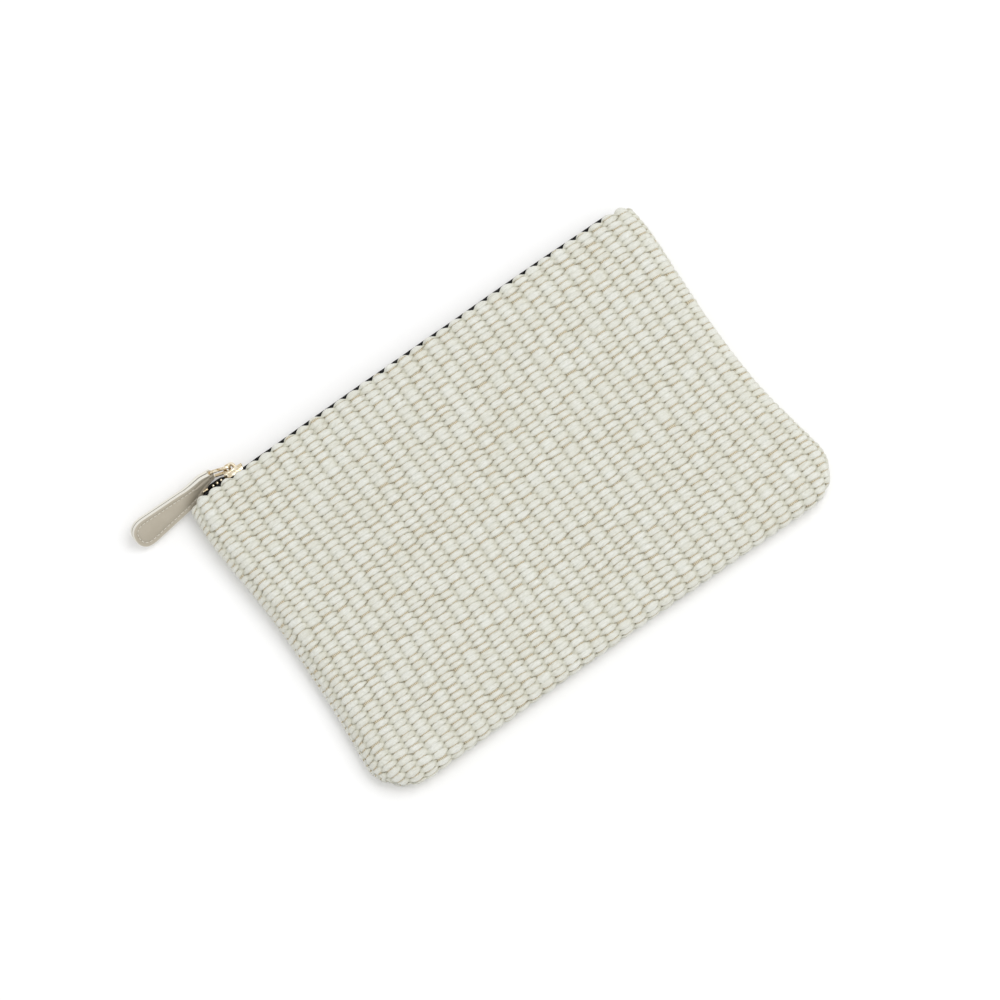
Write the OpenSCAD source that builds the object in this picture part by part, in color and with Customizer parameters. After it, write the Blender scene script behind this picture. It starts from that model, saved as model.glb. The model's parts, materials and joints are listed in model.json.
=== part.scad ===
// Flat zippered pouch, lying on its back panel.
// X runs along the zip, with the zip's open end at -X. +Y is the mouth and -Y the bottom fold. +Z is up.
// The origin is the middle of the back panel's flat underside.

/* [Pouch] */
// Width at the mouth
pouch_width = 228; // [200:1:260]
// Height from the bottom fold to the mouth
pouch_height = 150; // [130:1:170]
// Thickness over both panels
pouch_thickness = 14; // [13.8:0.1:15]
// How far each side pulls in at its waist
waist = 4.5; // [2:0.5:6]
// Radius of the two bottom corners
bottom_corner_r = 18; // [14:1:24]
// Thickness of the woven outer cloth
cloth = 2.2; // [1.8:0.1:2.3]
// Thickness of the lining
lining = 0.4; // [0.3:0.1:0.6]

/* [Zip] */
// Distance between two teeth of one row
tooth_pitch = 2; // [1.8:0.1:2.4]
// Teeth in a row
tooth_count = 95; // [60:1:95]
// Thickness of the tape
tape = 0.7; // [0.5:0.1:0.8]
// Width of the tape that is sewn to the cloth
tape_flange = 7.8; // [6:0.1:9]
// Height of the back row above the table, at its free edge
back_row_top = 6; // [5.8:0.1:6]
// Height of the front row above the table, at its free edge
front_row_bottom = 8.3; // [8.3:0.1:8.5]

/* [Slider] */
// Length of the slider along the zip
slider_length = 8.5; // [8:0.5:9.5]
// Thickness of each slider plate
slider_plate = 1.1; // [0.8:0.1:1.2]
// Gap from the pouch's left edge to the slider
slider_inset = 23.5; // [21:0.5:25]

/* [Pull] */
// Radius of the link's wire
link_wire_r = 0.7; // [0.5:0.1:0.7]
// Distance between the link's two bars
link_length = 8.6; // [8:0.1:12]
// Length of the leather strap from the link to its round end
strap_length = 41; // [30:1:60]
// Width of the strap at its round end
strap_width = 12.5; // [10:0.5:12.5]
// Width of the strap at the link
strap_neck = 5; // [4:0.5:6]
// Thickness of one leather ply
leather = 1.6; // [1.2:0.1:1.6]
// Tilt of the strap about its length
strap_tilt = 48; // [40:1:50]

/* [Hidden] */
$fn = 96;

// Outline of the pouch. Each side is one long arc that is tangent to the corner circles.
fold_r = pouch_thickness / 2;
y_mouth = pouch_height / 2;
y_bottom = -pouch_height / 2;
y_waist = 7;
arc_half = y_waist - (y_bottom + bottom_corner_r);
side_r = (arc_half * arc_half + waist * waist) / (2 * waist);
side_x = pouch_width / 2 - waist + side_r;
corner_y = y_bottom + bottom_corner_r;
corner_x = side_x - sqrt(pow(side_r + bottom_corner_r, 2) - pow(y_waist - corner_y, 2));
tangent_angle = asin((y_waist - corner_y) / (side_r + bottom_corner_r));
splice_angle = 1;
splice_inset = 0.4;
front_gap = 0.5;

// Zip. Both rows stand in one plane across the mouth, and the slider's plates lie in front of and behind them.
z_front = pouch_thickness - cloth;
tape_y = y_mouth - 1.5;
tooth_wall = 0.8;
tooth_depth = tape + 0.1 + 2 * tooth_wall;
tooth_y = tape_y + tape / 2;
tooth_height = 2.15;
tooth_slot = 1.15;
tooth_length = 1.1;
web_bite = 1.1;
chain_start = -pouch_width / 2 + 17.3;
stop_length = 2.7;
stop_gap = 2;
bottom_stop_gap = 0.7;
chain_end = chain_start + (tooth_count - 1) * tooth_pitch + tooth_length;
tape_end = pouch_width / 2 - 12;
stitch_length = 3;
stitch_pitch = 4;
stitch_r = 0.22;
stitch_count = 52;

// Slider. Its post runs between the two rows, and its lower rails hold the back row.
chain_z = 6.7;
slider_x = -pouch_width / 2 + slider_inset;
channel = tooth_depth + 0.6;
plate_in_y = tooth_y - channel / 2 - slider_plate;
plate_out_y = tooth_y + channel / 2;
slider_low = 3.15;
slider_high = 9.8;
rail = 0.45;
rail_reach = 0.9;
post_low = back_row_top + 0.3;
post_height = 0.8;
crown_x = slider_x + 3.7;
crown_top_y = plate_out_y + slider_plate;
crown_width = 1.6;
crown_wall = 1;
crown_hole = [3.4, 2.4];

// Pull. The link's bars and both swing axes run along Z.
bar_y = crown_top_y + 1.25;
link_angle = 17;
link_half = 3.1;
far_x = crown_x - link_length * cos(link_angle);
far_y = bar_y + link_length * sin(link_angle);
loop_hole_r = link_wire_r + 0.15;
loop_wall = 1.3;
loop_length = 4;
strap_yaw = 3.8;
strap_droop = 1;
strap_start = 2;
neck_x = 6;
head_x = strap_length - strap_width / 2;
strap_stitch_inset = 1.9;
strap_stitch_length = 1.9;
strap_stitches = 9;

CLOTH = [0.84, 0.83, 0.78];
LINING = [0.78, 0.74, 0.66];
THREAD = [0.80, 0.78, 0.72];
TAPE = [0.03, 0.03, 0.035];
METAL = [0.80, 0.68, 0.45];
LEATHER = [0.74, 0.71, 0.65];

// ---- Outline helpers ----

// The flat part of a panel: the outline drawn in by inset on three sides, and open to the mouth.
module panel_outline(inset, y_top = y_mouth) {
    r = bottom_corner_r - inset;
    y_low = y_bottom + inset;
    difference() {
        union() {
            translate([-corner_x - r, corner_y]) square([2 * (corner_x + r), y_top - corner_y]);
            translate([-corner_x, y_low]) square([2 * corner_x, corner_y - y_low + 1]);
            for (s = [-1, 1]) translate([s * corner_x, corner_y]) circle(r);
        }
        for (s = [-1, 1]) translate([s * side_x, y_waist]) circle(side_r + inset, $fn = 720);
    }
}

// Cross-section of the rounded edge: half a ring, open towards +X, drawn in by inset inside its own wall.
module edge_profile(inset = 0) {
    difference() {
        circle(fold_r - inset);
        circle(fold_r - cloth + inset);
        translate([-inset, -2 * fold_r]) square(4 * fold_r);
    }
}

// Sweep of the rounded edge round a bottom corner, over part of a turn.
module corner_sweep(angle, inset = 0) {
    rotate_extrude(angle = angle) translate([bottom_corner_r - fold_r, 0]) mirror([1, 0]) edge_profile(inset);
}

// The rounded edge along the left side and round its bottom corner. A thin splice inside both joins the two sweeps.
module side_edge() {
    intersection() {
        translate([-side_x, y_waist, fold_r]) rotate([0, 0, -tangent_angle])
            rotate_extrude(angle = 2 * tangent_angle + 2, $fn = 720) translate([side_r + fold_r, 0]) edge_profile();
        translate([-pouch_width, y_bottom, 0]) cube([pouch_width, pouch_height, pouch_thickness]);
    }
    translate([-corner_x, corner_y, fold_r]) rotate([0, 0, 180 - tangent_angle]) {
        corner_sweep(90 + tangent_angle);
        rotate([0, 0, -splice_angle]) corner_sweep(2 * splice_angle, splice_inset);
    }
}

// ---- Sewn body ----

module back_panel() {
    color(CLOTH) linear_extrude(cloth) panel_outline(fold_r);
}

module front_panel() {
    color(CLOTH) translate([0, 0, z_front]) linear_extrude(cloth) panel_outline(fold_r + front_gap);
}

module bottom_fold() {
    color(CLOTH) translate([-corner_x, y_bottom + fold_r, fold_r]) rotate([90, 0, 90])
        linear_extrude(2 * corner_x) edge_profile();
}

module left_side_seam() {
    color(CLOTH) side_edge();
}

module right_side_seam() {
    color(CLOTH) mirror([1, 0, 0]) side_edge();
}

module lining_sheet(z) {
    translate([0, 0, z]) linear_extrude(lining) panel_outline(fold_r + 1, tape_y + tape - tape_flange - 0.2);
}

module back_lining() {
    color(LINING) lining_sheet(cloth);
}

module front_lining() {
    color(LINING) lining_sheet(z_front - lining);
}

// ---- Zip tapes and thread ----

// One tape: a flange along the cloth and a web that stands across the mouth.
module tape_section(length, web) {
    cube([length, tape_flange, tape]);
    translate([0, tape_flange - tape, 0]) cube([length, tape, web]);
}

module stitch_row(z) {
    x_first = -(stitch_count - 1) * stitch_pitch / 2 - stitch_length / 2;
    for (i = [0:stitch_count - 1])
        translate([x_first + i * stitch_pitch, tape_y - 4, z]) rotate([0, 90, 0])
            cylinder(r = stitch_r, h = stitch_length, $fn = 24);
}

module back_zip_tape() {
    web = back_row_top - tooth_height + web_bite - cloth;
    color(TAPE) translate([-tape_end, tape_y + tape - tape_flange, cloth]) tape_section(2 * tape_end, web);
}

module front_zip_tape() {
    web = z_front - (front_row_bottom + tooth_height - web_bite);
    color(TAPE) translate([-tape_end, tape_y + tape - tape_flange, z_front]) mirror([0, 0, 1])
        tape_section(2 * tape_end, web);
}

module back_mouth_stitching() {
    color(THREAD) stitch_row(cloth + tape + stitch_r);
}

module front_mouth_stitching() {
    color(THREAD) stitch_row(z_front - tape - stitch_r);
}

// ---- Zip metal ----

// Section of a tooth, crimped over the tape's edge, with its free edge at the top.
module tooth_section() {
    difference() {
        translate([-tooth_depth / 2, 0]) square([tooth_depth, tooth_height]);
        translate([-tape / 2 - 0.05, -1]) square([tape + 0.1, 1 + tooth_slot]);
    }
}

module jaw(length) {
    rotate([90, 0, 90]) linear_extrude(length) tooth_section();
}

module back_jaw(x, length) {
    translate([x, tooth_y, back_row_top - tooth_height]) jaw(length);
}

module front_jaw(x, length) {
    translate([x, tooth_y, front_row_bottom + tooth_height]) mirror([0, 0, 1]) jaw(length);
}

module back_zip_teeth() {
    color(METAL) for (i = [0:tooth_count - 1]) back_jaw(chain_start + i * tooth_pitch, tooth_length);
}

module front_zip_teeth() {
    color(METAL) for (i = [0:tooth_count - 2])
        front_jaw(chain_start + (i + 0.5) * tooth_pitch, tooth_length);
}

module back_top_stop() {
    color(METAL) back_jaw(chain_start - stop_gap - stop_length, stop_length);
}

module front_top_stop() {
    color(METAL) front_jaw(chain_start - stop_gap - stop_length, stop_length);
}

module zip_bottom_stop() {
    color(METAL) difference() {
        translate([chain_end + bottom_stop_gap, tooth_y - tooth_depth / 2, back_row_top - tooth_height])
            cube([stop_length, tooth_depth, tooth_height + 1.5]);
        translate([chain_end, tape_y - 0.05, 0]) cube([2 * stop_length, tape + 0.1, back_row_top - 1]);
    }
}

// ---- Slider ----

// Plate outline in X and Z: wide at the open end, narrower over the closed chain.
module plate_outline() {
    taper = 0.7;
    polygon([[0, slider_low], [slider_length, slider_low + taper], [slider_length, slider_high - taper],
             [0, slider_high]]);
}

module plate(y, thickness) {
    translate([slider_x, y + thickness, 0]) rotate([90, 0, 0]) linear_extrude(thickness) plate_outline();
}

module slider_body() {
    color(METAL) {
        plate(plate_in_y, slider_plate);
        plate(plate_out_y, slider_plate);
        translate([slider_x + 0.8, plate_in_y + slider_plate, post_low]) cube([3.6, channel, post_height]);
        for (y = [plate_in_y + slider_plate, plate_out_y - rail_reach])
            translate([slider_x, y, slider_low]) cube([2.5, rail_reach, rail]);
    }
}

module slider_crown() {
    size = [crown_hole[0] + 2 * crown_wall, crown_hole[1] + crown_wall];
    color(METAL) translate([crown_x, crown_top_y, chain_z - crown_width / 2]) linear_extrude(crown_width)
        difference() {
            translate([-size[0] / 2, 0]) square(size);
            translate([-crown_hole[0] / 2, -1]) square([crown_hole[0], 1 + crown_hole[1]]);
        }
}

// ---- Pull ----

module wire_bar(x) {
    translate([x, 0, -link_half]) cylinder(r = link_wire_r, h = 2 * link_half, $fn = 32);
    for (s = [-1, 1]) translate([x, 0, s * link_half]) sphere(link_wire_r, $fn = 32);
}

module pull_link() {
    color(METAL) translate([crown_x, bar_y, chain_z]) rotate([0, 0, 180 - link_angle]) {
        wire_bar(0);
        wire_bar(link_length);
        for (s = [-1, 1]) translate([0, 0, s * link_half]) rotate([0, 90, 0])
            cylinder(r = link_wire_r, h = link_length, $fn = 32);
    }
}

// Frame of the strap: local X runs from the link's far bar to the round end, and local Z is its upper face.
module strap_frame() {
    translate([far_x, far_y, chain_z]) rotate([0, 0, 180 + strap_yaw]) rotate([0, strap_droop, 0])
        rotate([-strap_tilt, 0, 0]) children();
}

// Strap outline: a narrow neck that widens to a round head, drawn in by inset.
module strap_outline(inset = 0) {
    head_r = strap_width / 2 - inset;
    neck = strap_neck / 2 - inset;
    union() {
        polygon([[strap_start + inset, -neck], [neck_x, -neck], [head_x, -head_r], [head_x, head_r],
                 [neck_x, neck], [strap_start + inset, neck]]);
        translate([head_x, 0]) circle(head_r);
    }
}

module pull_front_ply() {
    color(LEATHER) {
        strap_frame() linear_extrude(leather) strap_outline();
        difference() {
            translate([far_x, far_y, chain_z - loop_length / 2])
                cylinder(r = loop_hole_r + loop_wall, h = loop_length);
            translate([far_x, far_y, chain_z - loop_length]) cylinder(r = loop_hole_r, h = 2 * loop_length);
            strap_frame() translate([0, -strap_neck, -leather - 1]) cube([strap_length, 2 * strap_neck, leather + 1]);
        }
    }
}

module pull_back_ply() {
    color(LEATHER) strap_frame() translate([0, 0, -leather]) linear_extrude(leather) difference() {
        strap_outline();
        translate([-1, -strap_neck]) square([loop_hole_r + loop_wall + 1.4, 2 * strap_neck]);
    }
}

// Thread on the strap's upper face: two straight rows and a ring of stitches round the head.
module pull_stitching() {
    head_r = strap_width / 2 - strap_stitch_inset;
    neck = strap_neck / 2 - 1.1;
    run = head_x - neck_x;
    slope = atan((head_r - neck) / run);
    color(THREAD) strap_frame() translate([0, 0, leather + stitch_r]) {
        for (s = [-1, 1], i = [0:strap_stitches])
            translate([neck_x + i * run / (strap_stitches + 1), s * (neck + i * (head_r - neck) / (strap_stitches + 1)), 0])
                rotate([0, 0, s * slope]) rotate([0, 90, 0])
                    cylinder(r = stitch_r, h = strap_stitch_length, $fn = 24);
        for (a = [-75:30:75])
            translate([head_x, 0, 0]) rotate([0, 0, a]) translate([head_r, -strap_stitch_length / 2, 0])
                rotate([-90, 0, 0]) cylinder(r = stitch_r, h = strap_stitch_length, $fn = 24);
    }
}

back_panel();
bottom_fold();
left_side_seam();
right_side_seam();
back_lining();
back_mouth_stitching();
front_panel();
front_lining();
front_mouth_stitching();
back_zip_tape();
front_zip_tape();
back_zip_teeth();
front_zip_teeth();
back_top_stop();
front_top_stop();
zip_bottom_stop();
slider_body();
slider_crown();
pull_link();
pull_front_ply();
pull_back_ply();
pull_stitching();
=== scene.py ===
import json
import math

import bpy
import numpy as np
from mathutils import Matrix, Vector


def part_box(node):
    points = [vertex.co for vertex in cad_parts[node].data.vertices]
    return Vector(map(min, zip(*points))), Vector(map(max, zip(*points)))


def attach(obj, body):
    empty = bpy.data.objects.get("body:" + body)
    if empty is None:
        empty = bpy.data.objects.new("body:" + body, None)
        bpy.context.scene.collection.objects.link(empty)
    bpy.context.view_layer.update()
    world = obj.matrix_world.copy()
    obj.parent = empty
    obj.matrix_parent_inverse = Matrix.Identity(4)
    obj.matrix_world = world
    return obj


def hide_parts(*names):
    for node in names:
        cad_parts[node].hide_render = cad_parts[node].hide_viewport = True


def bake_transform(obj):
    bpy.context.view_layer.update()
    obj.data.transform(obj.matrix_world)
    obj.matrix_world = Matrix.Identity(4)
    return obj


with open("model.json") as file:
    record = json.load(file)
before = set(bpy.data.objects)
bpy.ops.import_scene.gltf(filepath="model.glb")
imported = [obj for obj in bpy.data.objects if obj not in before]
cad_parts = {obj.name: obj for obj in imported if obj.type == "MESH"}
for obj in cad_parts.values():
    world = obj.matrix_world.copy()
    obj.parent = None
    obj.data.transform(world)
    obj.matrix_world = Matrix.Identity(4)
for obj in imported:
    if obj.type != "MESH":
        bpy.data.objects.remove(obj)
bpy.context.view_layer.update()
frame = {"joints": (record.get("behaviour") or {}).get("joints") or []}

# Lengths in this script are millimetres in the frame's own axes. piece() turns them into metres.
MM = 0.001


def cad_box_mm(node):
    """Low and high corners of a CAD node's box."""
    low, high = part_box(node)
    return np.array(low) / MM, np.array(high) / MM


def joint_place(name):
    """Where a joint's axis passes, in the frame."""
    joint = next(j for j in frame["joints"] if j["name"] == name)
    return np.array(joint["pos_m"]) / MM


# ---------------------------------------------------------------- sizes

fold_low, _ = cad_box_mm("bottom_fold")
seam_low, seam_high = cad_box_mm("left_side_seam")
slider_low, slider_high = cad_box_mm("slider_body")
crown_low, crown_high = cad_box_mm("slider_crown")
teeth_low, teeth_high = cad_box_mm("back_zip_teeth")
front_teeth_low, _ = cad_box_mm("front_zip_teeth")
back_stop_low, back_stop_high = cad_box_mm("back_top_stop")
bottom_stop_low, bottom_stop_high = cad_box_mm("zip_bottom_stop")
hinge = joint_place("mouth_open")
link_near = joint_place("link_swing")
link_far = joint_place("pull_swing")

# Outline of the pouch. Each side is one long arc, tangent to a round bottom corner.
EDGE_X = -seam_low[0]
Y_MOUTH = seam_high[1]
Y_EDGE = fold_low[1]
WAIST_Y = 7.0  # where the pouch is narrowest
WAIST_DIP = 4.5  # how far each side is drawn in there
CORNER_R = 18.0
TOP_CORNER_R = 3.5
FOLD_BOW = 0.7  # how far the fold's middle is drawn in
CORNER_Y = Y_EDGE + CORNER_R
# Radius and centre of the right side's arc, and centre of its round corner. The left side mirrors them.
ARC_R = ((Y_MOUTH - WAIST_Y) ** 2 + WAIST_DIP**2) / (2 * WAIST_DIP)
ARC_X = EDGE_X - WAIST_DIP + ARC_R
CORNER_X = ARC_X - math.sqrt((ARC_R + CORNER_R) ** 2 - (WAIST_Y - CORNER_Y) ** 2)


def gentle(places):
    """A soft line through a few (place, value) pairs, as a function of the place."""
    at, value = np.array(places, float).T
    fine = np.linspace(at[0], at[-1], 601)
    window = np.hanning(73)
    line = np.convolve(np.pad(np.interp(fine, at, value), 36, mode="edge"), window / window.sum(), "valid")
    return lambda place: np.interp(place, fine, line)


# How far the worn pouch strays from the even outline: each side outwards, by y, and the mouth up, by x.
LEFT_WEAR = [(-90, -0.9), (-57, -1.2), (-37, -1.5), (3, -1.5), (20, -1.1)]
LEFT_WEAR += [(33, -0.7), (45, -0.5), (60, -1.4), (90, -8.2)]
RIGHT_WEAR = [(-90, 0.5), (-47, 0.5), (-20, -0.4), (0, 0.3), (30, 1.6), (60, 1.9), (76, -1.6), (90, -4.0)]
MOUTH_WEAR = [(-130, -0.8), (-100, -0.8), (-65, -0.7), (-45, -0.2), (-16, 0.1)]
MOUTH_WEAR += [(33, 0.5), (55, 0.8), (80, 0.8), (130, 0.4)]
left_stray, right_stray, mouth_stray = gentle(LEFT_WEAR), gentle(RIGHT_WEAR), gentle(MOUTH_WEAR)

# Cloth. A float is the stretch of one weft that lies over one rib.
SKIN = 1.2  # from the cloth's middle to the top of a float
RIB = 6.58  # from one rib to the next
ROW = 1.46  # from one weft to the next
RIBS = 18  # on each side of the middle
STRIP_RIBS = 9  # in a strip of floats on each side of the middle
FLOAT_REACH = 0.74  # how far a float runs each way from the middle of its rib, as a share of a rib
FLOAT_DIVE = 0.56  # from here on it dives under its neighbours
SHEAR = math.tan(math.radians(-1.7))
SEAM_Z = 5.6  # level of the line where front and back meet at the sides and the fold
TOP_EDGE = 12.9  # level of the front's outside, but for its puff and ripples
PUFF = 1.1  # how far the front's middle stands over that
NOSE_R = 0.9  # of the cloth's middle, where it turns in at the mouth
TURN_IN = 5.0  # length of cloth turned in there
MOUTH_Y = Y_MOUTH - SKIN - NOSE_R
SCALLOP = 0.68  # how far the mouth's edge dips between two ribs
BACK_WEAR = 0.6  # how much of the front's wear shows on the back's mouth
LIP_FLARE = 1.3  # how far the back's cloth shows past the front's on the left
LOPSIDED = 0.06  # how far a float's thickest part lies right of its middle, as a share of a rib
SIDE_RUN = 8.0  # run of the quarter turn down to the seam
FOLD_RUN = 5.5  # and down to the fold
EDGE_RISE = 5.0  # rise of both, as taken for the length of cloth in them


# ---------------------------------------------------------------- mesh helpers


def smooth(x, low, high):
    """0 below low, 1 above high, with a smooth turn between."""
    t = np.clip((np.asarray(x, float) - low) / (high - low), 0, 1)
    return t * t * (3 - 2 * t)


def piece(name, points, faces, material, values=None):
    """A mesh object from millimetre points and a list of face arrays, each of one face size."""
    mesh = bpy.data.meshes.new(name)
    points = np.ascontiguousarray(points, np.float32).reshape(-1, 3) * MM
    mesh.vertices.add(len(points))
    mesh.vertices.foreach_set("co", points.ravel())
    faces = [np.asarray(f, np.int32) for f in faces if len(f)]
    corners = np.concatenate([f.ravel() for f in faces])
    sizes = np.concatenate([np.full(len(f), f.shape[1]) for f in faces])
    starts = np.concatenate([[0], np.cumsum(sizes)[:-1]])
    mesh.loops.add(len(corners))
    mesh.loops.foreach_set("vertex_index", corners)
    mesh.polygons.add(len(sizes))
    mesh.polygons.foreach_set("loop_start", starts.astype(np.int32))
    mesh.polygons.foreach_set("use_smooth", np.ones(len(sizes), bool))
    mesh.update(calc_edges=True)
    for label, data in (values or {}).items():
        layer = mesh.attributes.new(label, "FLOAT", "POINT")
        layer.data.foreach_set("value", np.ascontiguousarray(data, np.float32).ravel())
    mesh.materials.append(material)
    made = bpy.data.objects.new(name, mesh)
    bpy.context.scene.collection.objects.link(made)
    return made


def ring_faces(count, rings, around):
    """Quads and end caps for count separate tubes, each with rings x around points."""
    base = np.arange(count)[:, None, None] * rings * around
    i = np.arange(rings - 1)[None, :, None] * around
    j = np.arange(around)[None, None, :]
    k = (j + 1) % around
    base_ring = base + i
    quads = np.stack([base_ring + j, base_ring + k, base_ring + around + k, base_ring + around + j], -1)
    start = (base[:, 0] + np.arange(around)[None, ::-1]).reshape(count, around)
    end = (base[:, 0] + (rings - 1) * around + np.arange(around)[None]).reshape(count, around)
    return [quads.reshape(-1, 4), start, end]


def grid_faces(rows, columns, keep=None):
    """Quads of a sheet of rows x columns points, without those that keep leaves out."""
    i, j = np.meshgrid(np.arange(rows - 1), np.arange(columns - 1), indexing="ij")
    a = i * columns + j
    quads = np.stack([a, a + 1, a + columns + 1, a + columns], -1)
    if keep is not None:
        quads = quads[keep]
    return quads.reshape(-1, 4)


# ---------------------------------------------------------------- shape of the pouch


def outline_depth(x, y):
    """How far plan points lie inside the outline of the cloth's middle, and the direction out of it."""
    side = np.where(x < 0, -1.0, 1.0)
    ax = np.abs(x)
    vx, vy = ARC_X - ax, WAIST_Y - y
    far = np.hypot(vx, vy)
    depth, ox, oy = far - (ARC_R + SKIN), vx / far, vy / far
    low = y - (Y_EDGE + SKIN + FOLD_BOW * np.clip(1 - (x / 90) ** 2, 0, 1))
    nearer = low < depth
    depth, ox, oy = np.where(nearer, low, depth), np.where(nearer, 0, ox), np.where(nearer, -1, oy)
    qx, qy = ax - CORNER_X, y - CORNER_Y
    q = np.maximum(np.hypot(qx, qy), 1e-9)
    ux, uy = ARC_X - CORNER_X, WAIST_Y - CORNER_Y
    corner = (qx > 0) & (ux * qy - uy * qx < 0)
    depth = np.where(corner, CORNER_R - SKIN - q, depth)
    ox, oy = np.where(corner, qx / q, ox), np.where(corner, qy / q, oy)
    return depth, ox * side, oy


def quarter_edge(run):
    """Arc length, run and rise round a quarter ellipse, and how much longer the arc is than the run."""
    turn = np.linspace(0, np.pi / 2, 160)
    across, up = run * (1 - np.cos(turn)), np.sin(turn)
    steps = np.hypot(np.diff(across), np.diff(up) * EDGE_RISE)
    arc = np.concatenate([[0], np.cumsum(steps)])
    return arc, across, up, arc[-1] - run


SIDE_EDGE = quarter_edge(SIDE_RUN)
FOLD_EDGE = quarter_edge(FOLD_RUN)
V_FOLD = Y_EDGE + SKIN - FOLD_EDGE[3]


def along_edge(edge, reach):
    """Run and rise after so much cloth, past the quarter turn where the cloth goes on flat."""
    arc, across, up, extra = edge
    run = np.where(reach > arc[-1], reach - extra, np.interp(reach, arc, across))
    return run, np.interp(reach, arc, up)


def front_top(x, y):
    """Level of the front's outside, with its puffed middle and faint ripples."""
    crown = np.clip(1 - (x / 106) ** 2, 0, None) * np.clip(1 - (y / 76) ** 2, 0, None)
    ripple = 0.16 * np.sin(x / 17 + 1.3) * np.sin(y / 13 + 0.4) + 0.1 * np.sin(x / 7.1 - y / 9.3)
    return TOP_EDGE + PUFF * crown**0.6 + ripple


def squeeze(x, y):
    """The cloth is drawn in at the waist: nearly all its ribs follow the left side, and fewer the right."""
    y = np.clip(y, CORNER_Y, Y_MOUTH)
    half = ARC_X - np.sqrt(ARC_R**2 - (y - WAIST_Y) ** 2)
    share = np.where(x < 0, 0.9, 0.45)
    return 1 + share * (half / EDGE_X - 1)


def cloth_middle(u, v):
    """Point of the cloth's middle layer at cloth place (u, v). The front is above V_FOLD, the back below."""
    front = v >= V_FOLD
    side = np.where(front, 1.0, -1.0)
    y0 = np.where(front, v, 2 * V_FOLD - v)
    mouth_y = MOUTH_Y - SCALLOP * np.cos(np.pi * u / RIB) ** 2
    past = np.clip(y0 - mouth_y, 0, None)
    turn = np.clip(past / NOSE_R, 0, np.pi)
    y = np.where(past > 0, mouth_y + NOSE_R * np.sin(turn) - (past - turn * NOSE_R), y0)
    drop = NOSE_R * (1 - np.cos(turn))
    x = u * squeeze(u, y)
    depth, ox, oy = outline_depth(x, y)
    fold_share = np.clip(-oy, 0, 1) ** 2
    extra = SIDE_EDGE[3] + fold_share * (FOLD_EDGE[3] - SIDE_EDGE[3])
    reach = depth + extra
    run_s, up_s = along_edge(SIDE_EDGE, np.clip(reach, 0, None))
    run_f, up_f = along_edge(FOLD_EDGE, np.clip(reach, 0, None))
    run = run_s + fold_share * (run_f - run_s)
    up = up_s + fold_share * (up_f - up_s)
    run = np.where(reach < 0, -reach, run)
    px, py = x + ox * (depth - run), y + oy * (depth - run)
    round_off = np.clip(np.abs(px) - (EDGE_X - TOP_CORNER_R - SKIN), 0, TOP_CORNER_R)
    py = py - (TOP_CORNER_R - np.sqrt(TOP_CORNER_R**2 - round_off**2)) * smooth(py, 50, Y_MOUTH)
    tall = np.where(front, front_top(px, py) - SKIN - SEAM_Z, SEAM_Z - SKIN - 0.1)
    z = SEAM_Z + side * (tall - drop) * up + side * 0.35 * (1 - up)
    low_left = smooth(-px, 60, 100) * (1 - smooth(py, -20, 40))
    lip = (side < 0) * LIP_FLARE * low_left * (1 - fold_share) * (1 - up)
    stray = np.where(px < 0, -left_stray(py), right_stray(py)) * np.clip(np.abs(px) / EDGE_X, 0, 1.1) ** 1.5
    worn = mouth_stray(px)
    py = py + np.where(front, worn, BACK_WEAR * np.minimum(worn, 0)) * smooth(py, 35, 72)
    return np.stack([px + stray - lip, py, z], -1), reach


def on_cloth(u, v, height):
    """Points at a height over the cloth's middle layer."""
    step = 0.05
    here, reach = cloth_middle(u, v)
    du = cloth_middle(u + step, v)[0] - here
    dv = cloth_middle(u, v + step)[0] - here
    normal = np.cross(du, dv)
    normal /= np.maximum(np.linalg.norm(normal, axis=-1, keepdims=True), 1e-12)
    return here + normal * height[..., None], reach


def from_weave(s, t):
    """Cloth place of weave place (s across the ribs, t along them). The wefts run a little off the zip."""
    return s + 0 * t, t + s * SHEAR


# ---------------------------------------------------------------- woven cloth

V_TOP = MOUTH_Y + math.pi * NOSE_R + TURN_IN
V_BOTTOM = 2 * V_FOLD - V_TOP
V_HINGE = hinge[1]
V_UNDER = V_FOLD - 8  # the back panel's cloth is below this


def row_wander(rows, s):
    """How far a weft strays from its even place, slowly along its length."""
    return 0.17 * np.sin(rows * 2.399 + s / 23) + 0.12 * np.sin(rows * 1.13 + s / 61 + 2)


def float_places(rng):
    """Weave places of the middle of each float that shows, with its row and its place along the cloth."""
    ribs = np.arange(-RIBS - 1, RIBS + 1)
    rows = np.arange(math.floor((V_BOTTOM - 8) / ROW), math.ceil((V_TOP + 8) / ROW))
    k, j = np.meshgrid(ribs, rows, indexing="ij")
    over = (k + j) % 2 == 0
    k, j = k[over], j[over]
    s = (k + 0.5) * RIB
    t = j * ROW + rng.normal(0, 0.10, len(j))
    u, v = from_weave(s, t)
    reach = cloth_middle(u, v)[1]
    shown = (reach > -RIB * 0.7) & (v < V_TOP) & (v > V_BOTTOM)
    return s[shown], t[shown], j[shown], v[shown]


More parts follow.
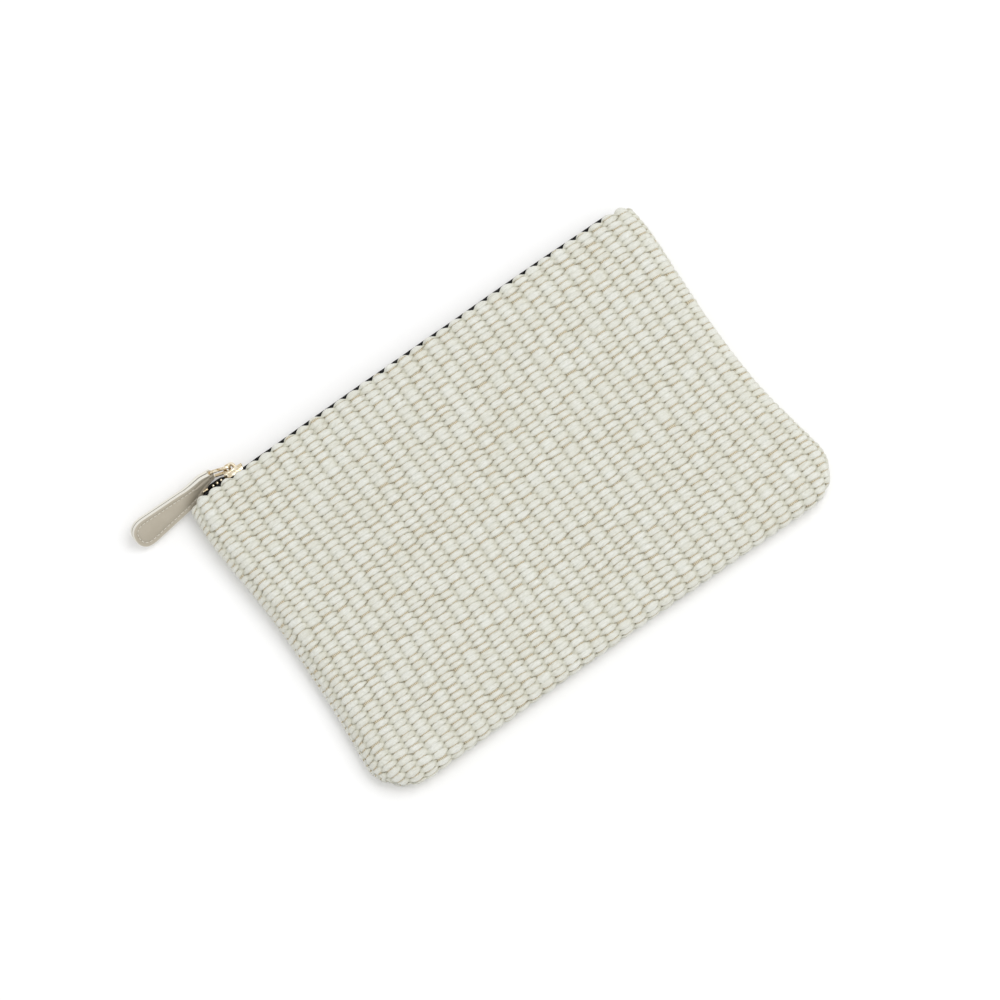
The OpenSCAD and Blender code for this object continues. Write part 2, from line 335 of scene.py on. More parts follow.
def float_meshes(rng, s, t, rows):
    """Lens-shaped floats, each a closed tube that dives under its neighbours at both ends."""
    rings, around = 17, 10
    count = len(s)
    q = np.linspace(-FLOAT_REACH, FLOAT_REACH, rings)[None, :, None] * np.ones((count, 1, 1))
    bow = np.cos(np.pi * (q - LOPSIDED) / 0.88)
    wide = rng.normal(1, 0.08, (count, 1, 1))
    plump = rng.normal(1, 0.10, (count, 1, 1))
    lean = rng.normal(0, 0.03, (count, 1, 1))
    knots = rng.normal(0, 0.07, (count, rings, 1))
    _, v_mid = from_weave(s, t)
    near_fold = np.exp(-(((v_mid - V_FOLD) / 2.6) ** 2))[:, None, None]
    belly = np.clip(bow, 0, 1) ** 0.5
    tail = smooth(np.abs(q), FLOAT_DIVE, FLOAT_REACH)
    half_width = ((0.98 + 0.43 * belly) * wide * (1 - 0.25 * near_fold) + knots) * (1 - 0.35 * tail)
    half_thick = (0.44 + 0.18 * belly - 0.12 * tail) * plump
    rise = 0.54 * belly - 0.20 + 0.10 * np.clip(bow, 0, 1) + 0.38 * np.clip(bow, -1, 0) - 0.25 * tail
    turn = np.linspace(0, 2 * np.pi, around, endpoint=False)[None, None, :]
    cos, sin = np.cos(turn), np.sin(turn)
    flat = np.sign(sin) * np.abs(sin) ** 0.75
    ss = s[:, None, None] + q * RIB + 0 * turn
    tt = t[:, None, None] + row_wander(rows[:, None, None], ss) + lean * q * RIB + half_width * cos
    height = rise + half_thick * flat
    u, v = from_weave(ss, tt)
    points, _ = on_cloth(u, v, height)
    tone = np.broadcast_to(rng.random((count, 1, 1)), points.shape[:-1])
    # The weft material paints shade by this level: the lower the yarn, the darker its colour.
    level = np.clip((height + 0.5) / (SKIN + 0.5), 0, 1)
    return points, level, tone, ring_faces(count, rings, around)


def warp_sheet(name, ribs, v_low, v_high, material):
    """The fine warps under the floats. They bunch into one rib per column and show between the floats."""
    threads, per_thread = 9, 3
    across = threads * per_thread
    q = np.arange(len(ribs) * across + 1) / across
    s = ribs[0] * RIB + q * RIB
    in_rib = (q % 1) - 0.5
    column = np.floor(q - 1e-9).astype(int) + ribs[0]
    thread = np.abs(np.sin(np.pi * q * threads))
    quarter = ROW / 2
    pad = abs(SHEAR) * EDGE_X + 4
    t = np.arange(math.floor((v_low - pad) / quarter), math.ceil((v_high + pad) / quarter) + 1) * quarter
    row = np.rint(t / ROW)
    tt, ss = np.meshgrid(t, s, indexing="ij")
    gap = np.cos(np.pi * (tt / ROW + column[None, :]))
    crown = smooth(np.cos(np.pi * (in_rib - LOPSIDED)), 0.30, 0.9)[None, :]
    height = -0.62 + crown * (0.82 - 0.38 * gap) + 0.14 * thread[None, :]
    tt = tt + row_wander(row[:, None], ss)
    u, v = from_weave(ss, tt)
    points, reach = on_cloth(u, v, height)
    mid_v = (v[1:, 1:] + v[:-1, :-1]) / 2
    keep = (mid_v >= v_low) & (mid_v <= v_high) & (reach[1:, 1:] > -2.5)
    used = grid_faces(len(t), len(s), keep)
    old, new = np.unique(used, return_inverse=True)
    # level is 0 between the threads, where the warp material paints shade.
    level = np.broadcast_to(thread[None, :], height.shape).ravel()[old]
    return piece(name, points.reshape(-1, 3)[old], [new.reshape(-1, 4)], material, {"level": level})


def join_mouth(made):
    """Bakes a front piece's placement into its mesh."""
    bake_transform(made)


def woven_cloth(weft, warp):
    """The outer cloth, in bands along it and strips across it."""
    rng = np.random.default_rng(7)
    s, t, rows, v = float_places(rng)
    points, level, tone, faces = float_meshes(rng, s, t, rows)
    quads, start, end = faces
    size = points.shape[1] * points.shape[2]
    per = len(quads) // len(s)
    bands = {
        "front": v >= V_HINGE,
        "fold": (v < V_HINGE) & (v > V_UNDER),
        "back": v <= V_UNDER,
    }
    strips = {"far_left": (-RIBS - 1, -STRIP_RIBS), "left": (-STRIP_RIBS, 0)}
    strips |= {"right": (0, STRIP_RIBS), "far_right": (STRIP_RIBS, RIBS + 1)}
    node = {"front": "front_panel", "fold": "bottom_fold", "back": "back_panel"}
    column = np.floor(s / RIB)
    for band, in_band in bands.items():
        for strip, (low, high) in strips.items():
            pick = np.nonzero(in_band & (column >= low) & (column < high))[0]
            local = np.arange(len(pick)) * size
            shift = (local - pick * size)[:, None, None]
            chosen = [
                (quads.reshape(-1, per, 4)[pick] + shift).reshape(-1, 4),
                start[pick] + shift[:, 0],
                end[pick] + shift[:, 0],
            ]
            values = {"level": level[pick], "tone": tone[pick]}
            made = piece(f"{band}_wefts_{strip}", points[pick], chosen, weft, values)
            if band == "front":
                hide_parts(node[band])
                join_mouth(made)
            else:
                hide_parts(node[band], "left_side_seam", "right_side_seam")
                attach(made, "back")
    limits = {"front": (V_HINGE, V_TOP), "fold": (V_UNDER, V_HINGE), "back": (V_BOTTOM, V_UNDER)}
    for band, (low, high) in limits.items():
        for strip, ribs in {"left": range(-RIBS, 0), "right": range(0, RIBS)}.items():
            made = warp_sheet(f"{band}_warps_{strip}", ribs, low, high, warp)
            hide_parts(node[band])
            if band == "front":
                join_mouth(made)
            else:
                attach(made, "back")


class Solids:
    """Collects closed solids, in millimetres, into one piece."""

    def __init__(self):
        self.points, self.faces, self.count = [], [], 0

    def add(self, points, faces):
        points = np.asarray(points, float).reshape(-1, 3)
        self.points.append(points)
        self.faces += [np.asarray(f) + self.count for f in faces]
        self.count += len(points)

    def piece(self, name, material):
        return piece(name, np.concatenate(self.points), self.faces, material)


def outward(outline):
    """Outward directions at the points of a closed anticlockwise outline."""
    along = np.roll(outline, -1, 0) - np.roll(outline, 1, 0)
    along /= np.linalg.norm(along, axis=1, keepdims=True)
    return np.stack([along[:, 1], -along[:, 0]], 1)


def slab(outline, low, high, bevel, place):
    """A plate with rounded edges. place(a, b, c) turns outline places a, b and level c into a point."""
    outline = np.asarray(outline, float)
    out = outward(outline)
    turns = np.radians([0, 30, 60, 90])
    steps = [(bevel * (1 - math.sin(t)), low + bevel * (1 - math.cos(t))) for t in turns]
    steps += [(inset, low + high - level) for inset, level in reversed(steps)]
    rings = []
    for inset, level in steps:
        flat = outline - out * inset
        rings.append(place(flat[:, 0], flat[:, 1], np.full(len(flat), level)))
    return np.stack(rings), ring_faces(1, len(rings), len(outline))


def rounded(width, height, radius, centre=(0, 0), steps=5):
    """Anticlockwise rounded rectangle."""
    points = []
    for k, (sx, sy) in enumerate([(1, -1), (1, 1), (-1, 1), (-1, -1)]):
        for t in np.linspace(-90 + 90 * k, 90 * k, steps):
            a = math.radians(t)
            x = centre[0] + sx * (width / 2 - radius) + radius * math.cos(a)
            points.append((x, centre[1] + sy * (height / 2 - radius) + radius * math.sin(a)))
    return np.array(points)


def sweep(path, sides, wide, thick, closed=False, around=16, square=0.6):
    """A rounded bar along a path. sides are the directions in which it is wide."""
    path, sides = np.asarray(path, float), np.asarray(sides, float)
    if closed:
        along = np.roll(path, -1, 0) - np.roll(path, 1, 0)
    else:
        along = np.gradient(path, axis=0)
    along /= np.linalg.norm(along, axis=1, keepdims=True)
    sides = sides - along * (sides * along).sum(1, keepdims=True)
    sides /= np.linalg.norm(sides, axis=1, keepdims=True)
    ups = np.cross(along, sides)
    turn = np.linspace(0, 2 * np.pi, around, endpoint=False)
    c = np.sign(np.cos(turn)) * np.abs(np.cos(turn)) ** square
    s = np.sign(np.sin(turn)) * np.abs(np.sin(turn)) ** square
    wide, thick = (np.broadcast_to(v, len(path))[:, None, None] for v in (wide, thick))
    across, over = sides[:, None] * c[None, :, None], ups[:, None] * s[None, :, None]
    points = path[:, None] + across * wide + over * thick
    faces = ring_faces(1, len(path), around)
    if closed:
        a = (len(path) - 1) * around + np.arange(around)
        b = np.arange(around)
        join = np.stack([a, (a + 1 - (b + 1 == around) * around), (b + 1) % around, b], 1)
        faces = [np.concatenate([faces[0], join])]
    return points, faces


def resample(points, gap):
    """Even steps along the line through the points."""
    points = np.asarray(points, float)
    arc = np.concatenate([[0], np.cumsum(np.linalg.norm(np.diff(points, axis=0), axis=1))])
    at = np.linspace(0, arc[-1], max(int(arc[-1] / gap), 2) + 1)
    return np.stack([np.interp(at, arc, points[:, k]) for k in range(points.shape[1])], 1)


# ---------------------------------------------------------------- lining and stitching

LINING_DEEP = 1.0
LINING_THICK = 0.35
LINING_HALF = 109
LINING_COLUMNS, LINING_ROWS = 61, 90
LINING_PROBES = 400  # places tried along each column to find where the lining may start and stop
LIP = MOUTH_Y - 2.0


def lining_level(y0):
    """The lining runs under the cloth, and over the turned-in edge and the tape near the mouth."""
    return -LINING_DEEP - 1.95 * smooth(y0, MOUTH_Y - 11, MOUTH_Y - 7)


def lining_sheet(name, u_low, u_high, v_low, v_high, material):
    """A thin closed sheet inside the cloth, kept clear of the side seams."""
    columns = np.linspace(u_low, u_high, LINING_COLUMNS)
    probe = np.linspace(v_low, v_high, LINING_PROBES)
    grid = np.broadcast_to(probe, (LINING_COLUMNS, LINING_PROBES))
    inside = cloth_middle(columns[:, None], grid)[1] > SKIN
    first = probe[np.argmax(inside, 1)]
    last = probe[LINING_PROBES - 1 - np.argmax(inside[:, ::-1], 1)]
    share = np.linspace(0, 1, LINING_ROWS)
    v = first[:, None] + (last - first)[:, None] * share
    u = np.broadcast_to(columns[:, None], v.shape)
    level = lining_level(np.where(v >= V_FOLD, v, 2 * V_FOLD - v))
    top, _ = on_cloth(u, v, level)
    under, _ = on_cloth(u[:, ::-1], v[:, ::-1], level[:, ::-1] - LINING_THICK)
    loop = np.concatenate([top, under], 1)
    return piece(name, loop, ring_faces(1, len(columns), loop.shape[1]), material)


def linings(material):
    """The front's lining in two halves, and the back's, which also goes round the fold."""
    for strip, (low, high) in {"left": (-LINING_HALF, 0), "right": (0, LINING_HALF)}.items():
        made = lining_sheet(f"front_lining_{strip}", low, high, V_HINGE, LIP, material)
        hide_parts("front_lining")
        join_mouth(made)
    made = lining_sheet("back_lining_sheet", -LINING_HALF, LINING_HALF, 2 * V_FOLD - LIP, V_HINGE, material)
    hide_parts("back_lining")
    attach(made, "back")


STITCH_Y = MOUTH_Y - 3.4
STITCH_HALF = 103
STITCH_PITCH, STITCH_LONG = 3.4, 2.3


def stitch_row(name, node, v, u_low, u_high, material):
    """Short stitches lying in the weave along the mouth."""
    solids = Solids()
    for k in range(int((u_high - u_low) / STITCH_PITCH)):
        u = u_low + (k + 0.5) * STITCH_PITCH + np.linspace(-0.5, 0.5, 9) * STITCH_LONG
        arch = 1 - np.abs(np.linspace(-1, 1, 9)) ** 3
        path, _ = on_cloth(u, np.full(9, v), 0.25 + 0.62 * arch)
        solids.add(*sweep(path, np.tile([0.0, 1, 0], (9, 1)), 0.22, 0.22, around=8, square=1))
    made = solids.piece(name, material)
    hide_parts(node)
    return made


def mouth_stitching(material):
    """A row of stitches through the cloth and the tape on each side of the mouth."""
    v_front, v_back = STITCH_Y, 2 * V_FOLD - STITCH_Y
    for strip, (low, high) in {"left": (-STITCH_HALF, 0), "right": (0, STITCH_HALF)}.items():
        made = stitch_row(f"front_stitches_{strip}", "front_mouth_stitching", v_front, low, high, material)
        join_mouth(made)
    made = stitch_row("back_stitches", "back_mouth_stitching", v_back, -STITCH_HALF, STITCH_HALF, material)
    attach(made, "back")


# ---------------------------------------------------------------- zip

CHAIN_Y = (teeth_low[1] + teeth_high[1]) / 2
CHAIN_Z = (teeth_high[2] + front_teeth_low[2]) / 2 - 0.65
CHAIN_HALF = 1.65  # from the chain's middle to the foot of a tooth
TOOTH_PITCH = 2.0
TOOTH_LONG, TOOTH_DEEP = 1.0, 1.7
TOOTH_PAST = 0.75  # how far each row reaches past the chain's middle
FIRST_TOOTH = 0.55  # from the end of a row to the middle of its first tooth
SPLAY_FROM = -slider_low[0]  # this far left of the middle, the zip's free end leans out of the mouth
SPLAY_OUT = 2.9
SPLAY_DOWN = 2.0
BACK_TEETH_LEAN = 0.8  # the back's teeth lean less than the edge of their tape
TAPE_RIGHT = 106.5
FRONT_TAPE_LEFT = -103.5
BACK_TAPE_LEFT = -105.0
TAPE_HALF = 0.22
TAPE_END = 3.5  # length over which a tape's free end turns in


def zip_shift(x, lean):
    """How far the zip runs off its straight line: it follows the worn lip, and leans out past the slider."""
    past = smooth(-x, SPLAY_FROM - 9, SPLAY_FROM - 3.5) if lean else 0
    out = SPLAY_OUT * lean * smooth(-x, SPLAY_FROM - 3.5, SPLAY_FROM + 2)
    return np.minimum(mouth_stray(x), 0) * (1 - past) + out


def zip_droop(x, lean):
    """How far the leaning end also sinks, clear under the strap."""
    return SPLAY_DOWN * smooth(-x, SPLAY_FROM - 2.5, SPLAY_FROM + 2.5) if lean else 0 * x


def tape_sheet(name, path, x_low, x_high, lean, material):
    """A tape with cross-section path, whose outer edge follows the zip and turns in at both ends."""
    path = resample(path, 0.55) + [Y_MOUTH, CHAIN_Z]
    along = np.gradient(path, axis=0)
    along /= np.linalg.norm(along, axis=1, keepdims=True)
    normal = np.stack([-along[:, 1], along[:, 0]], 1)
    loop = np.concatenate([path + normal * TAPE_HALF, (path - normal * TAPE_HALF)[::-1]])
    x = np.arange(x_low, x_high + 0.1, 1.5)
    edge = smooth(loop[:, 0], Y_MOUTH - 9.0, Y_MOUTH - 0.8)
    shift = zip_shift(x, lean) + 0.2 * smooth(x, -81, -74)
    shift -= 2.4 * smooth(-x, -BACK_TAPE_LEFT - TAPE_END, -BACK_TAPE_LEFT) + 2.2 * smooth(x, 100, TAPE_RIGHT)
    if not lean:
        shift += np.maximum(mouth_stray(x), 0)
    y = loop[None, :, 0] + shift[:, None] * edge
    z = loop[None, :, 1] + (0.12 * np.sin(x / 5) - zip_droop(x, lean))[:, None] * edge
    points = np.stack([np.broadcast_to(x[:, None], y.shape), y, z], -1)
    return piece(name, points, ring_faces(1, len(x), len(loop)), material)


# Each tape lies flat under the cloth's turned edge, and folds over at the lip towards the teeth.
# A place is how far out of the mouth, and how far over the chain's middle.
FRONT_TAPE = [(-12.5, 2.55), (-7.0, 2.6), (-2.7, 2.6), (-1.0, 2.85)]
FRONT_TAPE += [(-0.15, 2.8), (-0.05, 2.1), (-0.6, 1.4), (-1.15, 1.25)]
BACK_TAPE = [(-12.5, -2.55), (-7.0, -2.6), (-2.7, -2.6), (-1.0, -2.8)]
BACK_TAPE += [(0.0, -2.7), (0.15, -2.1), (-0.4, -1.4), (-1.15, -1.25)]


def tapes(material):
    """The front's tape in two halves, and the back's."""
    for strip, (low, high) in {"left": (FRONT_TAPE_LEFT, 0.0), "right": (0.0, TAPE_RIGHT)}.items():
        made = tape_sheet(f"front_tape_{strip}", FRONT_TAPE, low, high, 0.0, material)
        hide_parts("front_zip_tape")
        join_mouth(made)
    made = tape_sheet("back_tape", BACK_TAPE, BACK_TAPE_LEFT, TAPE_RIGHT, 1.0, material)
    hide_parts("back_zip_tape")
    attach(made, "back")


def tooth(x, y, base, tip):
    """One clasped tooth, wide at its head, from its tape at level base to its tip."""
    outline = rounded(TOOTH_LONG, TOOTH_DEEP, 0.3, steps=3)
    levels = np.array([0.0, 0.06, 0.45, 0.6, 0.72, 0.94, 1.0])
    wide = np.array([0.75, 1.0, 1.0, 0.62, 0.95, 0.9, 0.6])
    deep = np.array([0.75, 1.0, 1.0, 0.7, 0.65, 0.6, 0.4])
    rings = []
    for level, w, d in zip(levels, wide, deep):
        z = np.full(len(outline), base + (tip - base) * level)
        rings.append(np.stack([x + outline[:, 0] * w, y + outline[:, 1] * d, z], 1))
    return np.stack(rings), ring_faces(1, len(rings), len(outline))


def chain(name, node, first, last, shift, base, tip, lean, material):
    """A row of teeth along the zip, between the levels of their bases and tips."""
    solids = Solids()
    for x in np.arange(first, last, TOOTH_PITCH) + shift:
        sink = float(zip_droop(x, lean))
        solids.add(*tooth(x, CHAIN_Y + float(zip_shift(x, lean)), base - sink, tip - sink))
    made = solids.piece(name, material)
    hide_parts(node)
    return made


def block(name, node, centre, size, bevel, material):
    """A small clamped block of the zip."""

    def place(a, b, c):
        return np.stack([centre[0] + a, centre[1] + b, centre[2] + c], 1)

    points, faces = slab(rounded(size[0], size[1], bevel * 1.2), -size[2] / 2, size[2] / 2, bevel, place)
    made = piece(name, points, faces, material)
    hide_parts(node)
    return made


def zip_chain(metal):
    """Teeth of both rows, which reach past the zip's middle to mesh, and the stops at both ends."""
    first, last = teeth_low[0] + FIRST_TOOTH, teeth_high[0]
    low, high = CHAIN_Z - CHAIN_HALF, CHAIN_Z + CHAIN_HALF
    back_tip, front_tip = CHAIN_Z + TOOTH_PAST, CHAIN_Z - TOOTH_PAST
    made = chain("back_teeth", "back_zip_teeth", first, last, 0, low, back_tip, BACK_TEETH_LEAN, metal)
    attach(made, "back")
    made = chain("front_teeth_left", "front_zip_teeth", first, 0, 1, high, front_tip, 0.0, metal)
    join_mouth(made)
    start = first + TOOTH_PITCH * math.ceil((0 - first) / TOOTH_PITCH)
    made = chain("front_teeth_right", "front_zip_teeth", start, last - 1, 1, high, front_tip, 0.0, metal)
    join_mouth(made)
    x = (back_stop_low[0] + back_stop_high[0]) / 2
    size = (back_stop_high[0] - back_stop_low[0], 0.9, 2.6)
    shift, sink = float(zip_shift(x, BACK_TEETH_LEAN)), float(zip_droop(x, BACK_TEETH_LEAN))
    place = (x, CHAIN_Y + shift, CHAIN_Z + 0.2 - sink)
    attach(block("back_stop", "back_top_stop", place, size, 0.3, metal), "back")
    place = (x, CHAIN_Y + float(zip_shift(x, 0.0)), CHAIN_Z + 1.3)
    made = block("front_stop", "front_top_stop", place, size, 0.3, metal)
    join_mouth(made)
    x = (bottom_stop_low[0] + bottom_stop_high[0]) / 2
    size = (bottom_stop_high[0] - bottom_stop_low[0], 2.6, 3.4)
    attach(block("end_stop", "zip_bottom_stop", (x, CHAIN_Y, CHAIN_Z), size, 0.4, metal), "back")


# ---------------------------------------------------------------- slider and pull

FLANGE_FROM = Y_MOUTH - 1.6  # the slider's two flanges reach in to here over the teeth
PLATE = 1.15
BAIL_HALF_WIDE, BAIL_HALF_THICK = 1.5, 0.72


def slider(metal):
    """The slider's outer and inner plates with their flanges and post, and the bail that holds the link."""
    solids = Solids()
    x_mid = (slider_low[0] + slider_high[0]) / 2
    z_mid = (slider_low[2] + slider_high[2]) / 2
    long, tall = slider_high[0] - slider_low[0], slider_high[2] - slider_low[2]

    def place(a, b, c):
        return np.stack([x_mid + a, c, z_mid - b], 1)

    t = np.linspace(-1, 1, 13)
    half = tall / 2 * (1 - 0.16 * smooth(t, -0.2, 1.0))
    side = np.stack([t * long / 2, half], 1)
    shield = np.concatenate([side[::-1], side * [1, -1]])[::-1]
    shield = shield[np.argsort(np.arctan2(shield[:, 1], shield[:, 0]))]
    plate = slider_high[1]
    solids.add(*slab(shield, plate - PLATE, plate, 0.32, place))
    inner = shield * [0.96, 0.66]
    solids.add(*slab(inner, slider_low[1], slider_low[1] + 1.1, 0.3, place))

    def flange(a, b, c):
        return np.stack([x_mid + a, (plate + FLANGE_FROM) / 2 + b, c], 1)

    cover = rounded(long - 1.1, plate - FLANGE_FROM, 0.9, (0.1, 0), 4)
    for level in (slider_low[2] + 0.5, slider_high[2] - 1.0):
        solids.add(*slab(cover, level, level + 0.9, 0.3, flange))
    post = rounded(1.7, 0.9, 0.4, (-long / 2 + 1.4, 0), 4)
    solids.add(*slab(post, slider_low[1] + 0.5, plate - 0.5, 0.1, place))
    made = solids.piece("slider_plates", metal)
    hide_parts("slider_body")
    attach(made, "slider")

    solids = Solids()
    foot, top = plate - 0.4, crown_high[1] - 0.7
    left, right = crown_low[0] + 0.7, crown_high[0] - 0.7
    arch = [(left, foot), (left, top - 0.9), (left + 0.35, top - 0.25), (left + 1.0, top)]
    arch += [(right - 1.0, top), (right - 0.35, top - 0.25), (right, top - 0.9), (right, foot)]
    arch = resample(arch, 0.3)
    path = np.column_stack([arch, np.full(len(arch), z_mid + 0.2)])
    solids.add(*sweep(path, np.tile([0.0, 0, 1], (len(path), 1)), BAIL_HALF_WIDE, BAIL_HALF_THICK))
    made = solids.piece("slider_bail", metal)
    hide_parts("slider_crown")
    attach(made, "slider")


LINK_HALF = 3.1
LINK_WIRE = (0.68, 0.55)


def link(metal):
    """A rounded ring with one bar through the bail and the other through the leather."""
    reach = np.linalg.norm(link_far - link_near)
    ahead = (link_far - link_near) / reach
    outline = rounded(reach, 2 * LINK_HALF, 1.3, (reach / 2, 0), 7)
    loop = resample(np.vstack([outline, outline[:1]]), 0.35)[:-1]
    path = link_near + loop[:, :1] * ahead + loop[:, 1:] * np.array([0.0, 0, 1])
    across = np.cross(ahead, [0, 0, 1])
    points, faces = sweep(path, np.tile(across, (len(path), 1)), *LINK_WIRE, closed=True, square=0.7)
    made = piece("link_ring", points, faces, metal)
    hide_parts("pull_link")
    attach(made, "link")


STRAP_YAW, STRAP_DROOP, STRAP_TILT = math.radians(183.8), math.radians(1), math.radians(-48)
NECK_TWIST = math.radians(-20)
STRAP_LONG = 41.0
STRAP_HALF = 6.25
NECK_HALF = 3.7
NECK_X = 6.0
STRAP_OFF = (0.7, -1.9)  # how far the strap hangs off the line through the link's bar
LEATHER = 1.6
SEAM_IN = 1.9  # from the strap's edge to its stitches
SEAM_FROM = 9.0  # the stitches start this far along the strap


def turned(a, b, angle):
    """The pair (a, b) turned by an angle."""
    return a * np.cos(angle) - b * np.sin(angle), a * np.sin(angle) + b * np.cos(angle)


def strap_place(x, y, z):
    """Frame point of strap place x along it, y across it and z through it. The neck twists to the bar."""
    hang = smooth(x, 1.0, 14.0)
    y, z = turned(y, z, NECK_TWIST * (1 - smooth(x, 0.0, 16.0)))
    y, z = turned(y, z, STRAP_TILT)
    x, z = turned(x, z, -STRAP_DROOP)
    x, y = turned(x, y, STRAP_YAW)
    across_x, across_y = link_far[0] + STRAP_OFF[0] * hang, link_far[1] + STRAP_OFF[1] * hang
    return np.stack([x + across_x, y + across_y, z + link_far[2]], -1)


def strap_outline(inset=0.0):
    """Anticlockwise outline of the strap: a neck that widens evenly into a round end."""
    head_x = STRAP_LONG - STRAP_HALF
    slope = math.asin((STRAP_HALF - NECK_HALF) / (head_x - NECK_X))
    turn = np.linspace(-math.pi / 2 - slope, math.pi / 2 + slope, 41)
    along, across = (np.sign(w) * np.abs(w) ** 0.85 for w in (np.cos(turn), np.sin(turn)))
    head = list(zip(head_x + STRAP_HALF * along, STRAP_HALF * across))
    side = [(NECK_X, NECK_HALF), (4.0, NECK_HALF - 0.3), (2.4, NECK_HALF - 0.9), (1.2, 2.3), (-1.3, 2.0)]
    line = np.array(head + side + [(x, -y) for x, y in reversed(side)] + head[:1])
    line = resample(line, 0.5)[:-1]
    for _ in range(4):
        line = (np.roll(line, 1, 0) + 2 * line + np.roll(line, -1, 0)) / 4
    return line - outward(line) * inset


# A ply's section from its edge inwards: how far in, how high over its face, and 1 at a cut or -1 at a seam.
PLY_FACE = [(0.0, -0.3, 1.0), (0.03, -0.12, 1.0), (0.13, -0.02, 0.9), (0.3, 0.0, 0.25), (0.6, 0.0, 0.0)]
PLY_GROOVE = [(SEAM_IN - 0.7, 0.02, 0.0), (SEAM_IN - 0.4, -0.06, 0.0), (SEAM_IN - 0.18, -0.26, 0.0)]
PLY_GROOVE += [(SEAM_IN, -0.3, 0.0), (SEAM_IN + 0.18, -0.24, 0.0), (SEAM_IN + 0.4, -0.02, 0.0)]
PLY_BACK = [(0.5, 0.06, -1.0), (0.22, 0.08, -1.0), (0.05, 0.2, 0.6), (0.0, 0.34, 1.0)]


def strap_ply(name, node, low, high, face_up, material):
    """A leather ply with rounded edges and a shallow groove under its stitches."""
    outline = strap_outline()
    out = outward(outline)
    face, back = PLY_FACE + PLY_GROOVE, PLY_BACK
    if face_up:
        steps = [(inset, low + rise, cut) for inset, rise, cut in back]
        steps += [(inset, high + rise, cut) for inset, rise, cut in face]
    else:
        steps = [(inset, low - rise, cut) for inset, rise, cut in reversed(face)]
        steps += [(inset, high - rise, cut) for inset, rise, cut in reversed(back)]
    rings, cuts = [], []
    for inset, level, cut in steps:
        flat = outline - out * inset
        flat[:, 1] = np.where(outline[:, 0] < SEAM_FROM, outline[:, 1] * (1 - 0.3 * inset), flat[:, 1])
        rings.append(strap_place(flat[:, 0], flat[:, 1], np.full(len(flat), level)))
        cuts.append(np.full(len(flat), cut))
    values = {"cut": np.clip(cuts, 0, 1), "seam": np.clip(np.negative(cuts), 0, 1)}
    made = piece(name, np.stack(rings), ring_faces(1, len(rings), len(outline)), material, values)
    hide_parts(node)
    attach(made, "pull")


LOOP_R = 1.1


def strap_loop(material):
    """The leather's turn round the link's far bar."""
    turn = np.linspace(0, 2 * np.pi, 33)[:-1]
    path = link_far + LOOP_R * np.stack([np.cos(turn), np.sin(turn), 0 * turn], 1)
    points, faces = sweep(path, np.tile([0.0, 0, 1], (32, 1)), 1.9, 0.55, closed=True, square=0.4)
    made = piece("strap_loop", points, faces, material)
    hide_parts("pull_front_ply")
    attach(made, "pull")


def strap_stitches(material):
    """Stitches in the groove of both plies, from one side of the neck round the end to the other."""
    line = strap_outline(SEAM_IN)
    line = line[line[:, 0] > SEAM_FROM]
    turn = np.argmax(np.linalg.norm(np.diff(line, axis=0), axis=1)) + 1
    line = np.roll(line, -turn, 0)
    pitch = 1.9
    points = resample(line, pitch / 8)
    solids = Solids()
    for k in range(0, len(points) - 8, 8):
        part = points[k : k + 6]
        arch = 1 - np.abs(np.linspace(-1, 1, 6)) ** 3
        for level, side in ((LEATHER - 0.28, 1), (-LEATHER + 0.28, -1)):
            z = level + side * 0.26 * arch
            path = strap_place(part[:, 0], part[:, 1], z)
            across = np.tile(strap_place(*np.zeros(3)) - strap_place(0, 0, 1), (6, 1))
            solids.add(*sweep(path, across, 0.17, 0.2, around=8, square=1))
    made = solids.piece("strap_stitches", material)
    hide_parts("pull_stitching")
    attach(made, "pull")


# ---------------------------------------------------------------- materials


